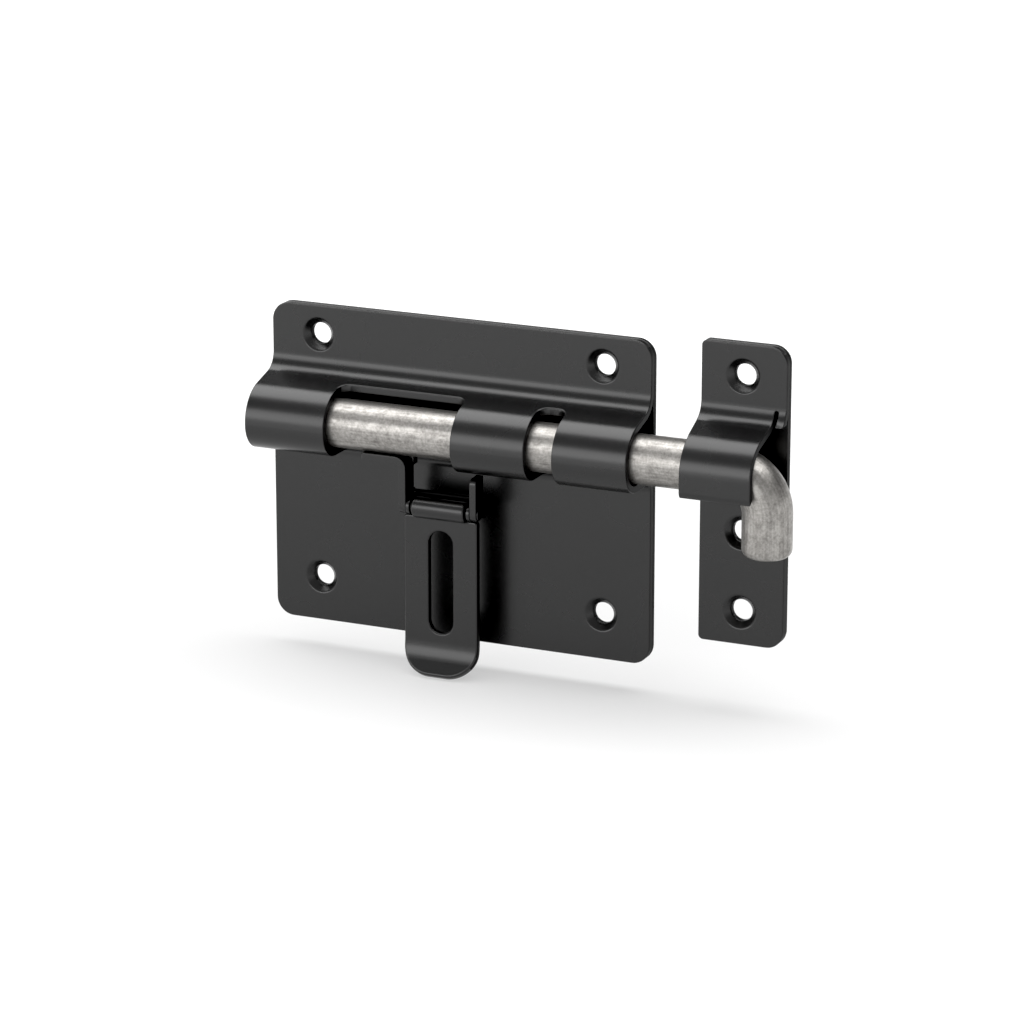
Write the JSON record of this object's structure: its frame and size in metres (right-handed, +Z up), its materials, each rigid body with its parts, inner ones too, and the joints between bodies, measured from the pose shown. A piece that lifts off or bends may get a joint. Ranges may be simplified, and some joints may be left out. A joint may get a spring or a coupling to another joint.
{
  "type": "gate lock",
  "caption": "Surface sliding-bolt gate lock: bent round rod in folded knuckles on a screwed plate, slotted hasp under the rod, separate hooked keeper.",
  "frame": {"origin": "centre of the back face of the main back plate", "axes": "+X along the bolt rod towards the keeper, +Y out of the screwed back, +Z up"},
  "size_m": [0.1384, 0.019, 0.0888],
  "materials": {
    "black_coat": "satin black powder coat on sheet steel",
    "bare_steel": "bare drawn bar, pale and slightly mottled"
  },
  "bodies": {
    "frame": {"back_plate": "black_coat", "knuckle_sheet": "black_coat", "keeper_plate": "black_coat", "keeper_hook": "black_coat"},
    "bolt": {"bolt_rod": "bare_steel", "hasp_bracket": "black_coat", "hinge_pin": "black_coat"},
    "hasp_leaf": {"hasp": "black_coat"}
  },
  "joints": [
    {"name": "bolt_slide", "type": "slide", "parent": "frame", "child": "bolt", "axis": [1, 0, 0], "range_m": [-0.0075, 0]},
    {"name": "hasp_hinge", "type": "hinge", "parent": "bolt", "child": "hasp_leaf", "pos_m": [-0.0007, -0.0126, -0.0046], "axis": [-1, 0, 0], "range_deg": [-9, 90]}
  ]
}
